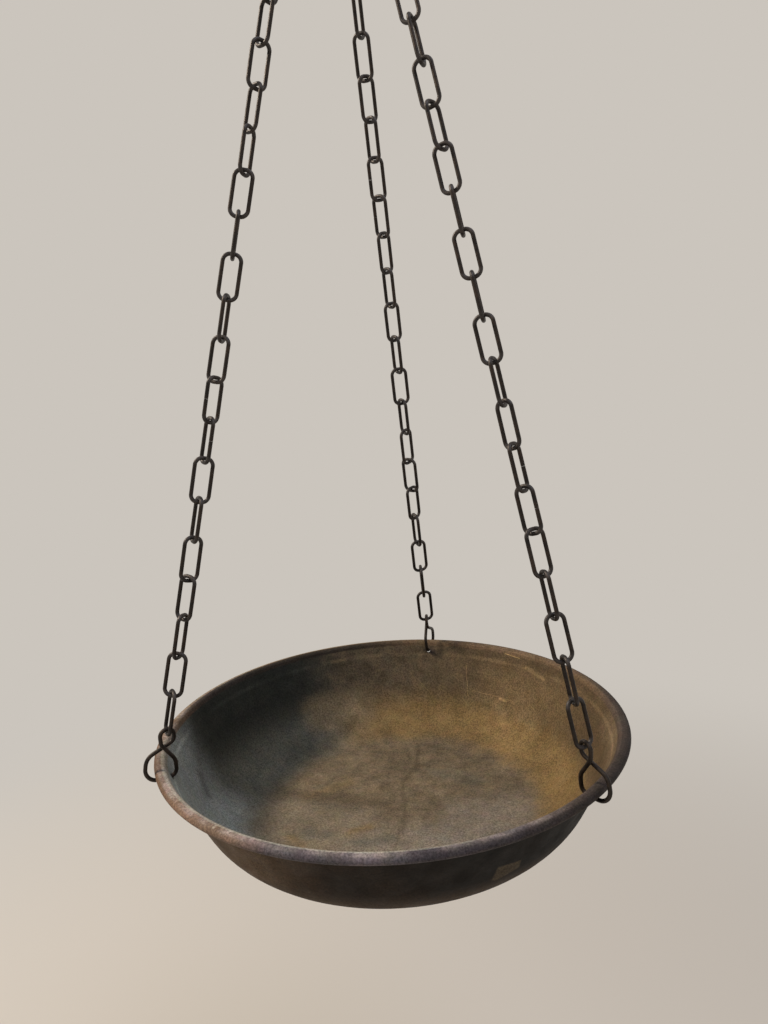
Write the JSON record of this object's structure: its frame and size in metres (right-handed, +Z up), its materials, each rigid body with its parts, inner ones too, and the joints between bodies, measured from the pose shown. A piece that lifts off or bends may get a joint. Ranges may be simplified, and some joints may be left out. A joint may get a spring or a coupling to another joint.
{
  "type": "hanging scale pan",
  "caption": "Shallow patinated brass scale pan with a rolled rim, hung by bent-wire hooks on long-link iron chains that gather on a ring and an open hook above it.",
  "frame": {"origin": "seat in the top of the upper bend of the hook that the pan hangs from, on the pan's own axis", "axes": "+Z up along the pan's axis, -Y to the front, with one chain at the back and one at each side of the front"},
  "size_m": [0.286, 0.2916, 0.6962],
  "materials": {
    "pan_brass": "old sheet brass, dull olive and brown patina with worn bright edges",
    "rim_iron": "plain iron wire, hidden in the rolled rim",
    "chain_iron": "oxidised black-brown iron wire, worn smooth where links meet",
    "hook_iron": "oxidised black-brown iron wire",
    "ring_iron": "oxidised iron wire, worn where it hangs"
  },
  "bodies": {
    "top_hook": {"top_hook": "hook_iron"},
    "gather_ring": {"gather_ring": "ring_iron"},
    "pan": {"pan": "pan_brass", "rim_wire": "rim_iron"},
    "left_hook": {"left_hook": "hook_iron"},
    "left_links_01_02": {"left_links_01_02": "chain_iron"},
    "left_links_03_04": {"left_links_03_04": "chain_iron"},
    "left_links_05_06": {"left_links_05_06": "chain_iron"},
    "left_links_07_08": {"left_links_07_08": "chain_iron"},
    "left_links_09_10": {"left_links_09_10": "chain_iron"},
    "left_links_11_12": {"left_links_11_12": "chain_iron"},
    "left_links_13_14": {"left_links_13_14": "chain_iron"},
    "left_links_15_16": {"left_links_15_16": "chain_iron"},
    "left_links_17_18": {"left_links_17_18": "chain_iron"},
    "left_links_19_20": {"left_links_19_20": "chain_iron"},
    "left_links_21_22": {"left_links_21_22": "chain_iron"},
    "left_links_23_24": {"left_links_23_24": "chain_iron"},
    "left_links_25": {"left_links_25": "chain_iron"},
    "back_hook": {"back_hook": "hook_iron"},
    "back_links_01_02": {"back_links_01_02": "chain_iron"},
    "back_links_03_04": {"back_links_03_04": "chain_iron"},
    "back_links_05_06": {"back_links_05_06": "chain_iron"},
    "back_links_07_08": {"back_links_07_08": "chain_iron"},
    "back_links_09_10": {"back_links_09_10": "chain_iron"},
    "back_links_11_12": {"back_links_11_12": "chain_iron"},
    "back_links_13_14": {"back_links_13_14": "chain_iron"},
    "back_links_15_16": {"back_links_15_16": "chain_iron"},
    "back_links_17_18": {"back_links_17_18": "chain_iron"},
    "back_links_19_20": {"back_links_19_20": "chain_iron"},
    "back_links_21_22": {"back_links_21_22": "chain_iron"},
    "back_links_23_24": {"back_links_23_24": "chain_iron"},
    "back_links_25": {"back_links_25": "chain_iron"},
    "right_hook": {"right_hook": "hook_iron"},
    "right_links_01_02": {"right_links_01_02": "chain_iron"},
    "right_links_03_04": {"right_links_03_04": "chain_iron"},
    "right_links_05_06": {"right_links_05_06": "chain_iron"},
    "right_links_07_08": {"right_links_07_08": "chain_iron"},
    "right_links_09_10": {"right_links_09_10": "chain_iron"},
    "right_links_11_12": {"right_links_11_12": "chain_iron"},
    "right_links_13_14": {"right_links_13_14": "chain_iron"},
    "right_links_15_16": {"right_links_15_16": "chain_iron"},
    "right_links_17_18": {"right_links_17_18": "chain_iron"},
    "right_links_19_20": {"right_links_19_20": "chain_iron"},
    "right_links_21_22": {"right_links_21_22": "chain_iron"},
    "right_links_23_24": {"right_links_23_24": "chain_iron"},
    "right_links_25": {"right_links_25": "chain_iron"}
  },
  "joints": [
    {"name": "ring_swing", "type": "hinge", "parent": "top_hook", "child": "gather_ring", "pos_m": [0, 0, -0.05675], "axis": [0, 1, 0], "range_deg": [-30, 30]},
    {"name": "pan_swing", "type": "hinge", "parent": "gather_ring", "child": "pan", "pos_m": [0, 0, -0.0783], "axis": [1, 0, 0], "range_deg": [-30, 30]},
    {"name": "left_hook_turn", "type": "hinge", "parent": "pan", "child": "left_hook", "pos_m": [-0.11355, -0.07096, -0.61273], "axis": [0, 0, 1], "range_deg": [-6, 6]},
    {"name": "left_links_01_02_turn", "type": "hinge", "parent": "pan", "child": "left_links_01_02", "pos_m": [-0.11086, -0.0692, -0.59947], "axis": [0.2002, 0.1252, 0.9717], "range_deg": [-4.79, 4.79]},
    {"name": "left_links_03_04_turn", "type": "hinge", "parent": "pan", "child": "left_links_03_04", "pos_m": [-0.10219, -0.06353, -0.5567], "axis": [0.1969, 0.1241, 0.9725], "range_deg": [-9.07, 9.07]},
    {"name": "left_links_05_06_turn", "type": "hinge", "parent": "pan", "child": "left_links_05_06", "pos_m": [-0.09352, -0.05786, -0.51394], "axis": [0.1942, 0.1251, 0.9729], "range_deg": [-13.36, 13.36]},
    {"name": "left_links_07_08_turn", "type": "hinge", "parent": "pan", "child": "left_links_07_08", "pos_m": [-0.08485, -0.0522, -0.47118], "axis": [0.1934, 0.126, 0.973], "range_deg": [-17.64, 17.64]},
    {"name": "left_links_09_10_turn", "type": "hinge", "parent": "pan", "child": "left_links_09_10", "pos_m": [-0.07618, -0.04653, -0.42841], "axis": [0.1953, 0.1244, 0.9728], "range_deg": [-21.93, 21.93]},
    {"name": "left_links_11_12_turn", "type": "hinge", "parent": "pan", "child": "left_links_11_12", "pos_m": [-0.06751, -0.04086, -0.38565], "axis": [0.1977, 0.1241, 0.9724], "range_deg": [-26.21, 26.21]},
    {"name": "left_chain_twist", "type": "hinge", "parent": "pan", "child": "left_links_13_14", "pos_m": [-0.05884, -0.0352, -0.34288], "axis": [0.1989, 0.1244, 0.9721], "range_deg": [-30, 30]},
    {"name": "left_links_15_16_turn", "type": "hinge", "parent": "pan", "child": "left_links_15_16", "pos_m": [-0.05017, -0.02953, -0.30012], "axis": [0.1965, 0.1241, 0.9726], "range_deg": [-26.21, 26.21]},
    {"name": "left_links_17_18_turn", "type": "hinge", "parent": "pan", "child": "left_links_17_18", "pos_m": [-0.04149, -0.02387, -0.25736], "axis": [0.1939, 0.1254, 0.973], "range_deg": [-21.93, 21.93]},
    {"name": "left_links_19_20_turn", "type": "hinge", "parent": "pan", "child": "left_links_19_20", "pos_m": [-0.03282, -0.0182, -0.2146], "axis": [0.1946, 0.1248, 0.9729], "range_deg": [-17.64, 17.64]},
    {"name": "left_links_21_22_turn", "type": "hinge", "parent": "pan", "child": "left_links_21_22", "pos_m": [-0.02415, -0.01253, -0.17183], "axis": [0.1949, 0.1246, 0.9729], "range_deg": [-13.36, 13.36]},
    {"name": "left_links_23_24_turn", "type": "hinge", "parent": "pan", "child": "left_links_23_24", "pos_m": [-0.01548, -0.00686, -0.12907], "axis": [0.1957, 0.1243, 0.9728], "range_deg": [-9.07, 9.07]},
    {"name": "left_links_25_turn", "type": "hinge", "parent": "pan", "child": "left_links_25", "pos_m": [-0.00681, -0.0012, -0.08631], "axis": [0.1965, 0.1241, 0.9726], "range_deg": [-4.79, 4.79]},
    {"name": "back_hook_turn", "type": "hinge", "parent": "pan", "child": "back_hook", "pos_m": [0.0035, 0.13385, -0.61273], "axis": [0, 0, 1], "range_deg": [-6, 6]},
    {"name": "back_links_01_02_turn", "type": "hinge", "parent": "pan", "child": "back_links_01_02", "pos_m": [0.00342, 0.13054, -0.59949], "axis": [-0.0063, -0.2431, 0.97], "range_deg": [-4.79, 4.79]},
    {"name": "back_links_03_04_turn", "type": "hinge", "parent": "pan", "child": "back_links_03_04", "pos_m": [0.00315, 0.11985, -0.55681], "axis": [-0.0063, -0.2431, 0.97], "range_deg": [-9.07, 9.07]},
    {"name": "back_links_05_06_turn", "type": "hinge", "parent": "pan", "child": "back_links_05_06", "pos_m": [0.00289, 0.10916, -0.51413], "axis": [-0.0062, -0.2432, 0.97], "range_deg": [-13.36, 13.36]},
    {"name": "back_links_07_08_turn", "type": "hinge", "parent": "pan", "child": "back_links_07_08", "pos_m": [0.00262, 0.09847, -0.47145], "axis": [-0.0062, -0.2432, 0.97], "range_deg": [-17.64, 17.64]},
    {"name": "back_links_09_10_turn", "type": "hinge", "parent": "pan", "child": "back_links_09_10", "pos_m": [0.00235, 0.08778, -0.42877], "axis": [-0.0063, -0.2431, 0.97], "range_deg": [-21.93, 21.93]},
    {"name": "back_links_11_12_turn", "type": "hinge", "parent": "pan", "child": "back_links_11_12", "pos_m": [0.00209, 0.07709, -0.38609], "axis": [-0.0063, -0.2431, 0.97], "range_deg": [-26.21, 26.21]},
    {"name": "back_chain_twist", "type": "hinge", "parent": "pan", "child": "back_links_13_14", "pos_m": [0.00182, 0.0664, -0.34341], "axis": [-0.0062, -0.2432, 0.97], "range_deg": [-30, 30]},
    {"name": "back_links_15_16_turn", "type": "hinge", "parent": "pan", "child": "back_links_15_16", "pos_m": [0.00155, 0.05571, -0.30072], "axis": [-0.0063, -0.2431, 0.97], "range_deg": [-26.21, 26.21]},
    {"name": "back_links_17_18_turn", "type": "hinge", "parent": "pan", "child": "back_links_17_18", "pos_m": [0.00128, 0.04502, -0.25804], "axis": [-0.0063, -0.2432, 0.97], "range_deg": [-21.93, 21.93]},
    {"name": "back_links_19_20_turn", "type": "hinge", "parent": "pan", "child": "back_links_19_20", "pos_m": [0.00102, 0.03433, -0.21536], "axis": [-0.0061, -0.2432, 0.9699], "range_deg": [-17.64, 17.64]},
    {"name": "back_links_21_22_turn", "type": "hinge", "parent": "pan", "child": "back_links_21_22", "pos_m": [0.00075, 0.02364, -0.17268], "axis": [-0.0061, -0.2432, 0.9699], "range_deg": [-13.36, 13.36]},
    {"name": "back_links_23_24_turn", "type": "hinge", "parent": "pan", "child": "back_links_23_24", "pos_m": [0.00048, 0.01295, -0.13], "axis": [-0.0061, -0.2432, 0.9699], "range_deg": [-9.07, 9.07]},
    {"name": "back_links_25_turn", "type": "hinge", "parent": "pan", "child": "back_links_25", "pos_m": [0.00022, 0.00226, -0.08732], "axis": [-0.0061, -0.2432, 0.9699], "range_deg": [-4.79, 4.79]},
    {"name": "right_hook_turn", "type": "hinge", "parent": "pan", "child": "right_hook", "pos_m": [0.11478, -0.06896, -0.61273], "axis": [0, 0, 1], "range_deg": [-6, 6]},
    {"name": "right_links_01_02_turn", "type": "hinge", "parent": "pan", "child": "right_links_01_02", "pos_m": [0.11206, -0.06725, -0.59946], "axis": [-0.2028, 0.1222, 0.9716], "range_deg": [-4.79, 4.79]},
    {"name": "right_links_03_04_turn", "type": "hinge", "parent": "pan", "child": "right_links_03_04", "pos_m": [0.10329, -0.06175, -0.5567], "axis": [-0.2034, 0.1232, 0.9713], "range_deg": [-9.07, 9.07]},
    {"name": "right_links_05_06_turn", "type": "hinge", "parent": "pan", "child": "right_links_05_06", "pos_m": [0.09453, -0.05624, -0.51393], "axis": [-0.203, 0.1225, 0.9715], "range_deg": [-13.36, 13.36]},
    {"name": "right_links_07_08_turn", "type": "hinge", "parent": "pan", "child": "right_links_07_08", "pos_m": [0.08576, -0.05073, -0.47117], "axis": [-0.2013, 0.121, 0.972], "range_deg": [-17.64, 17.64]},
    {"name": "right_links_09_10_turn", "type": "hinge", "parent": "pan", "child": "right_links_09_10", "pos_m": [0.077, -0.04523, -0.4284], "axis": [-0.2005, 0.1207, 0.9722], "range_deg": [-21.93, 21.93]},
    {"name": "right_links_11_12_turn", "type": "hinge", "parent": "pan", "child": "right_links_11_12", "pos_m": [0.06823, -0.03972, -0.38564], "axis": [-0.1993, 0.1205, 0.9725], "range_deg": [-26.21, 26.21]},
    {"name": "right_chain_twist", "type": "hinge", "parent": "pan", "child": "right_links_13_14", "pos_m": [0.05947, -0.03421, -0.34287], "axis": [-0.1993, 0.1205, 0.9725], "range_deg": [-30, 30]},
    {"name": "right_links_15_16_turn", "type": "hinge", "parent": "pan", "child": "right_links_15_16", "pos_m": [0.0507, -0.0287, -0.30011], "axis": [-0.2016, 0.1211, 0.9719], "range_deg": [-26.21, 26.21]},
    {"name": "right_links_17_18_turn", "type": "hinge", "parent": "pan", "child": "right_links_17_18", "pos_m": [0.04194, -0.02319, -0.25734], "axis": [-0.2001, 0.1206, 0.9723], "range_deg": [-21.93, 21.93]},
    {"name": "right_links_19_20_turn", "type": "hinge", "parent": "pan", "child": "right_links_19_20", "pos_m": [0.03317, -0.01769, -0.21458], "axis": [-0.2005, 0.1207, 0.9722], "range_deg": [-17.64, 17.64]},
    {"name": "right_links_21_22_turn", "type": "hinge", "parent": "pan", "child": "right_links_21_22", "pos_m": [0.02441, -0.01218, -0.17181], "axis": [-0.2005, 0.1207, 0.9722], "range_deg": [-13.36, 13.36]},
    {"name": "right_links_23_24_turn", "type": "hinge", "parent": "pan", "child": "right_links_23_24", "pos_m": [0.01564, -0.00667, -0.12905], "axis": [-0.2005, 0.1207, 0.9722], "range_deg": [-9.07, 9.07]},
    {"name": "right_links_25_turn", "type": "hinge", "parent": "pan", "child": "right_links_25", "pos_m": [0.00688, -0.00116, -0.08628], "axis": [-0.2001, 0.1206, 0.9723], "range_deg": [-4.79, 4.79]}
  ],
  "couplings": [
    {"joint": "left_links_01_02_turn", "follows": "left_chain_twist", "ratio": 0.1429},
    {"joint": "left_links_03_04_turn", "follows": "left_chain_twist", "ratio": 0.2857},
    {"joint": "left_links_05_06_turn", "follows": "left_chain_twist", "ratio": 0.4286},
    {"joint": "left_links_07_08_turn", "follows": "left_chain_twist", "ratio": 0.5714},
    {"joint": "left_links_09_10_turn", "follows": "left_chain_twist", "ratio": 0.7143},
    {"joint": "left_links_11_12_turn", "follows": "left_chain_twist", "ratio": 0.8571},
    {"joint": "left_links_15_16_turn", "follows": "left_chain_twist", "ratio": 0.8571},
    {"joint": "left_links_17_18_turn", "follows": "left_chain_twist", "ratio": 0.7143},
    {"joint": "left_links_19_20_turn", "follows": "left_chain_twist", "ratio": 0.5714},
    {"joint": "left_links_21_22_turn", "follows": "left_chain_twist", "ratio": 0.4286},
    {"joint": "left_links_23_24_turn", "follows": "left_chain_twist", "ratio": 0.2857},
    {"joint": "left_links_25_turn", "follows": "left_chain_twist", "ratio": 0.1429},
    {"joint": "back_links_01_02_turn", "follows": "back_chain_twist", "ratio": 0.1429},
    {"joint": "back_links_03_04_turn", "follows": "back_chain_twist", "ratio": 0.2857},
    {"joint": "back_links_05_06_turn", "follows": "back_chain_twist", "ratio": 0.4286},
    {"joint": "back_links_07_08_turn", "follows": "back_chain_twist", "ratio": 0.5714},
    {"joint": "back_links_09_10_turn", "follows": "back_chain_twist", "ratio": 0.7143},
    {"joint": "back_links_11_12_turn", "follows": "back_chain_twist", "ratio": 0.8571},
    {"joint": "back_links_15_16_turn", "follows": "back_chain_twist", "ratio": 0.8571},
    {"joint": "back_links_17_18_turn", "follows": "back_chain_twist", "ratio": 0.7143},
    {"joint": "back_links_19_20_turn", "follows": "back_chain_twist", "ratio": 0.5714},
    {"joint": "back_links_21_22_turn", "follows": "back_chain_twist", "ratio": 0.4286},
    {"joint": "back_links_23_24_turn", "follows": "back_chain_twist", "ratio": 0.2857},
    {"joint": "back_links_25_turn", "follows": "back_chain_twist", "ratio": 0.1429},
    {"joint": "right_links_01_02_turn", "follows": "right_chain_twist", "ratio": 0.1429},
    {"joint": "right_links_03_04_turn", "follows": "right_chain_twist", "ratio": 0.2857},
    {"joint": "right_links_05_06_turn", "follows": "right_chain_twist", "ratio": 0.4286},
    {"joint": "right_links_07_08_turn", "follows": "right_chain_twist", "ratio": 0.5714},
    {"joint": "right_links_09_10_turn", "follows": "right_chain_twist", "ratio": 0.7143},
    {"joint": "right_links_11_12_turn", "follows": "right_chain_twist", "ratio": 0.8571},
    {"joint": "right_links_15_16_turn", "follows": "right_chain_twist", "ratio": 0.8571},
    {"joint": "right_links_17_18_turn", "follows": "right_chain_twist", "ratio": 0.7143},
    {"joint": "right_links_19_20_turn", "follows": "right_chain_twist", "ratio": 0.5714},
    {"joint": "right_links_21_22_turn", "follows": "right_chain_twist", "ratio": 0.4286},
    {"joint": "right_links_23_24_turn", "follows": "right_chain_twist", "ratio": 0.2857},
    {"joint": "right_links_25_turn", "follows": "right_chain_twist", "ratio": 0.1429}
  ]
}
